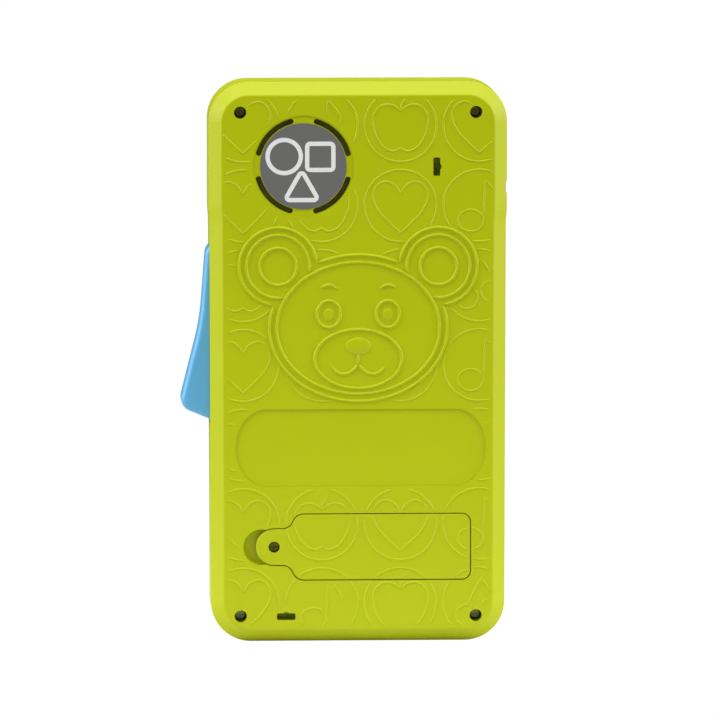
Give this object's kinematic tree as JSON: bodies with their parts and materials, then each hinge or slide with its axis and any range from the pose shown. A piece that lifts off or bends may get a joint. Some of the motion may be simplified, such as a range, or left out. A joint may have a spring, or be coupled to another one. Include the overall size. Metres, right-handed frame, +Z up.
{
  "type": "toy tablet",
  "caption": "Phone-shaped electronic toy tablet in lime plastic with a blue squeeze lever, shape badge, embossed back and screwed battery door.",
  "frame": {"origin": "centre of the flat bottom edge that the tablet stands on", "axes": "+Z up along the long side, back cover towards -Y, keys and screen towards +Y, squeeze lever on the -X side"},
  "size_m": [0.1159, 0.03, 0.2],
  "materials": {
    "lime_shell": "satin moulded plastic",
    "grey_badge": "printed matt label",
    "screw_steel": "zinc-plated",
    "screw_dark": "black oxide",
    "clip_nylon": "natural nylon",
    "white_panel": "gloss moulded",
    "clear_lens": "clear acrylic",
    "screen_card": "printed card",
    "diffuser_white": "translucent white",
    "home_key_blue": "gloss",
    "silicone_grey": "matt silicone",
    "board_green": "solder mask",
    "chip_black": "epoxy",
    "component_grey": "matt",
    "led_white": "clear epoxy",
    "switch_black": "matt",
    "knob_lime": "gloss",
    "wire_red": "pvc insulation",
    "felt_black": "felt",
    "speaker_steel": "black lacquer",
    "speaker_paper": "pressed paper",
    "magnet_dark": "sintered ferrite",
    "clamp_black": "matt",
    "lever_blue": "satin gloss moulded plastic",
    "pin_steel": "ground",
    "spring_steel": "drawn wire",
    "cell_jacket": "printed sleeve",
    "contact_nickel": "nickel-plated",
    "key_red": "gloss",
    "key_orange": "gloss",
    "key_yellow": "gloss",
    "key_green": "gloss",
    "key_teal": "gloss",
    "key_blue": "gloss",
    "key_purple": "gloss",
    "key_pink": "gloss",
    "key_lime": "gloss"
  },
  "bodies": {
    "case": {"back_shell": "lime_shell", "badge_disc": "grey_badge", "battery_cells": "cell_jacket", "battery_wires": "wire_red", "board_parts": "component_grey", "board_screws": "screw_steel", "case_screws": "screw_steel", "contact_plates": "contact_nickel", "contact_springs": "contact_nickel", "face_plate": "white_panel", "front_shell": "lime_shell", "key_membrane": "silicone_grey", "lever_pin": "pin_steel", "lever_spring": "spring_steel", "lever_switch": "switch_black", "light_diffuser": "diffuser_white", "main_board": "board_green", "main_chip": "chip_black", "power_switch_body": "switch_black", "power_wires": "wire_red", "screen_card": "screen_card", "screen_leds": "led_white", "screen_lens": "clear_lens", "sound_felt": "felt_black", "speaker_clamp": "clamp_black", "speaker_cone": "speaker_paper", "speaker_frame": "speaker_steel", "speaker_magnet": "magnet_dark", "speaker_screws": "screw_steel", "speaker_wires": "wire_red"},
    "side_lever": {"side_lever": "lever_blue"},
    "power_knob": {"power_knob": "knob_lime"},
    "battery_door": {"battery_door": "lime_shell"},
    "door_screw": {"door_screw": "screw_dark", "door_screw_clip": "clip_nylon"},
    "app_key_1": {"app_key_1": "key_red"},
    "app_key_2": {"app_key_2": "key_orange"},
    "app_key_3": {"app_key_3": "key_yellow"},
    "app_key_4": {"app_key_4": "key_green"},
    "app_key_5": {"app_key_5": "key_teal"},
    "app_key_6": {"app_key_6": "key_blue"},
    "app_key_7": {"app_key_7": "key_purple"},
    "app_key_8": {"app_key_8": "key_pink"},
    "app_key_9": {"app_key_9": "key_lime"},
    "home_key": {"home_key": "home_key_blue"}
  },
  "joints": [
    {"name": "lever_squeeze", "type": "hinge", "parent": "case", "child": "side_lever", "pos_m": [-0.0465, 0, 0.137], "axis": [0, -1, 0], "range_deg": [0, 9], "stiffness_Nm_per_rad": 0.25, "deforming": ["lever_spring"]},
    {"name": "app_key_1_press", "type": "slide", "parent": "case", "child": "app_key_1", "axis": [0, -1, 0], "range_m": [0, 0.0012], "stiffness_N_per_m": 400},
    {"name": "app_key_2_press", "type": "slide", "parent": "case", "child": "app_key_2", "axis": [0, -1, 0], "range_m": [0, 0.0012], "stiffness_N_per_m": 400},
    {"name": "app_key_3_press", "type": "slide", "parent": "case", "child": "app_key_3", "axis": [0, -1, 0], "range_m": [0, 0.0012], "stiffness_N_per_m": 400},
    {"name": "app_key_4_press", "type": "slide", "parent": "case", "child": "app_key_4", "axis": [0, -1, 0], "range_m": [0, 0.0012], "stiffness_N_per_m": 400},
    {"name": "app_key_5_press", "type": "slide", "parent": "case", "child": "app_key_5", "axis": [0, -1, 0], "range_m": [0, 0.0012], "stiffness_N_per_m": 400},
    {"name": "app_key_6_press", "type": "slide", "parent": "case", "child": "app_key_6", "axis": [0, -1, 0], "range_m": [0, 0.0012], "stiffness_N_per_m": 400},
    {"name": "app_key_7_press", "type": "slide", "parent": "case", "child": "app_key_7", "axis": [0, -1, 0], "range_m": [0, 0.0012], "stiffness_N_per_m": 400},
    {"name": "app_key_8_press", "type": "slide", "parent": "case", "child": "app_key_8", "axis": [0, -1, 0], "range_m": [0, 0.0012], "stiffness_N_per_m": 400},
    {"name": "app_key_9_press", "type": "slide", "parent": "case", "child": "app_key_9", "axis": [0, -1, 0], "range_m": [0, 0.0012], "stiffness_N_per_m": 400},
    {"name": "home_key_press", "type": "slide", "parent": "case", "child": "home_key", "axis": [0, -1, 0], "range_m": [0, 0.0012], "stiffness_N_per_m": 400},
    {"name": "power_slide", "type": "slide", "parent": "case", "child": "power_knob", "axis": [0, 1, 0], "range_m": [0, 0.003]},
    {"name": "door_swing", "type": "hinge", "parent": "case", "child": "battery_door", "pos_m": [0.0392, -0.0148, 0.0342], "axis": [0, 0, 1], "range_deg": [0, 75]},
    {"name": "door_screw_turn", "type": "hinge", "parent": "battery_door", "child": "door_screw", "pos_m": [-0.03, -0.012, 0.0342], "axis": [0, -1, 0], "continuous": true}
  ]
}
